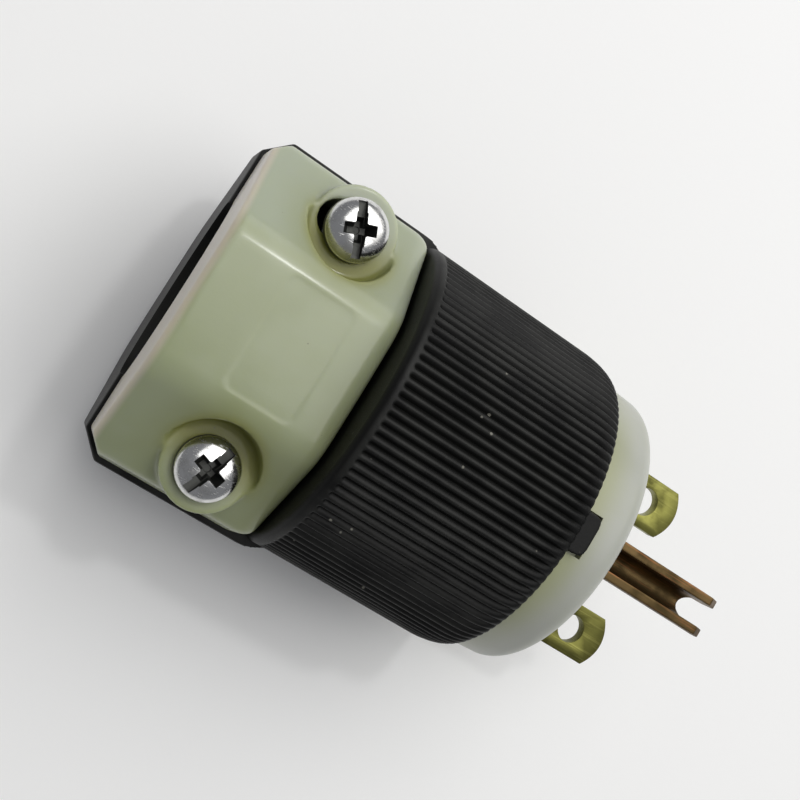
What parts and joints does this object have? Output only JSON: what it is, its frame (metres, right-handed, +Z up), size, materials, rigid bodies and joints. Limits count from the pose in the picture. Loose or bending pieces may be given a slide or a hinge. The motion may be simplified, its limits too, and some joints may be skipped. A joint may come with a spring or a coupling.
{
  "type": "electrical plug",
  "caption": "Wireable straight-blade grounding plug: ribbed round housing, screwed cord clamp at the rear, flat collinear blades and a U-shaped ground pin in front.",
  "frame": {"origin": "centre of the flat front face, on the barrel axis", "axes": "+X out of the front face along the blades, +Z towards the clamp screws and the ground pin, +Y to the left seen from the rear with +Z up"},
  "size_m": [0.0707, 0.0404, 0.0382],
  "materials": {
    "black_nylon": "satin moulded black nylon, finely ribbed on the barrel",
    "ivory_nylon": "semi-gloss translucent ivory nylon with a green cast",
    "white_nylon": "satin white nylon",
    "grey_nylon": "satin grey nylon",
    "bright_steel": "bright zinc-plated steel",
    "plain_steel": "plain zinc-plated steel",
    "yellow_brass": "dull olive-yellow brass, lightly scuffed",
    "brown_brass": "browned brass",
    "green_steel": "green-dyed steel"
  },
  "bodies": {
    "housing": {"housing_shell": "black_nylon", "clamp_nut_left": "plain_steel", "clamp_nut_right": "plain_steel", "assembly_insert_left": "yellow_brass", "assembly_insert_right": "yellow_brass"},
    "cord_clamp": {"cord_clamp": "ivory_nylon"},
    "clamp_screw_left": {"clamp_screw_left": "bright_steel"},
    "clamp_screw_right": {"clamp_screw_right": "bright_steel"},
    "interior": {"face_body": "white_nylon", "terminal_retainer": "grey_nylon", "ground_pin": "brown_brass", "line_blade_left": "yellow_brass", "line_blade_right": "yellow_brass", "retainer_screw_left": "plain_steel", "retainer_screw_right": "plain_steel"},
    "assembly_screw_left": {"assembly_screw_left": "bright_steel"},
    "assembly_screw_right": {"assembly_screw_right": "bright_steel"},
    "terminal_plate_left": {"terminal_plate_left": "plain_steel"},
    "terminal_screw_left": {"terminal_screw_left": "yellow_brass"},
    "terminal_plate_right": {"terminal_plate_right": "plain_steel"},
    "terminal_screw_right": {"terminal_screw_right": "yellow_brass"},
    "terminal_plate_ground": {"terminal_plate_ground": "plain_steel"},
    "terminal_screw_ground": {"terminal_screw_ground": "green_steel"}
  },
  "joints": [
    {"name": "clamp_lift", "type": "slide", "parent": "housing", "child": "cord_clamp", "axis": [0, 0, 1], "range_m": [0, 0.003]},
    {"name": "clamp_screw_left_turn", "type": "hinge", "parent": "cord_clamp", "child": "clamp_screw_left", "pos_m": [-0.0412, 0.0143, 0], "axis": [0, 0, 1], "range_deg": [0, 1362]},
    {"name": "clamp_screw_right_turn", "type": "hinge", "parent": "cord_clamp", "child": "clamp_screw_right", "pos_m": [-0.0412, -0.0143, 0], "axis": [0, 0, 1], "range_deg": [0, 1362]},
    {"name": "interior_pull", "type": "slide", "parent": "housing", "child": "interior", "axis": [1, 0, 0], "range_m": [0, 0.03]},
    {"name": "assembly_screw_left_turn", "type": "hinge", "parent": "interior", "child": "assembly_screw_left", "pos_m": [0, 0.0103, 0.0065], "axis": [1, 0, 0], "range_deg": [0, 1800]},
    {"name": "assembly_screw_right_turn", "type": "hinge", "parent": "interior", "child": "assembly_screw_right", "pos_m": [0, -0.0103, 0.0065], "axis": [1, 0, 0], "range_deg": [0, 1800]},
    {"name": "terminal_plate_left_lift", "type": "slide", "parent": "interior", "child": "terminal_plate_left", "axis": [0, 0, -1], "range_m": [0, 0.002]},
    {"name": "terminal_screw_left_turn", "type": "hinge", "parent": "terminal_plate_left", "child": "terminal_screw_left", "pos_m": [-0.0193, 0.00913, -0.004], "axis": [0, 0, -1], "range_deg": [0, 1136]},
    {"name": "terminal_plate_right_lift", "type": "slide", "parent": "interior", "child": "terminal_plate_right", "axis": [0, 0, -1], "range_m": [0, 0.002]},
    {"name": "terminal_screw_right_turn", "type": "hinge", "parent": "terminal_plate_right", "child": "terminal_screw_right", "pos_m": [-0.0193, -0.00913, -0.004], "axis": [0, 0, -1], "range_deg": [0, 1136]},
    {"name": "terminal_plate_ground_lift", "type": "slide", "parent": "interior", "child": "terminal_plate_ground", "axis": [0, 0, 1], "range_m": [0, 0.002]},
    {"name": "terminal_screw_ground_turn", "type": "hinge", "parent": "terminal_plate_ground", "child": "terminal_screw_ground", "pos_m": [-0.0193, 0, 0.0079], "axis": [0, 0, 1], "range_deg": [0, 1136]}
  ],
  "couplings": [
    {"joint": "clamp_screw_left_turn", "follows": "clamp_lift", "rad_per_m": 7913.3},
    {"joint": "clamp_screw_right_turn", "follows": "clamp_lift", "rad_per_m": 7913.3},
    {"joint": "terminal_screw_left_turn", "follows": "terminal_plate_left_lift", "rad_per_m": 9894.8},
    {"joint": "terminal_screw_right_turn", "follows": "terminal_plate_right_lift", "rad_per_m": 9894.8},
    {"joint": "terminal_screw_ground_turn", "follows": "terminal_plate_ground_lift", "rad_per_m": 9894.8}
  ]
}
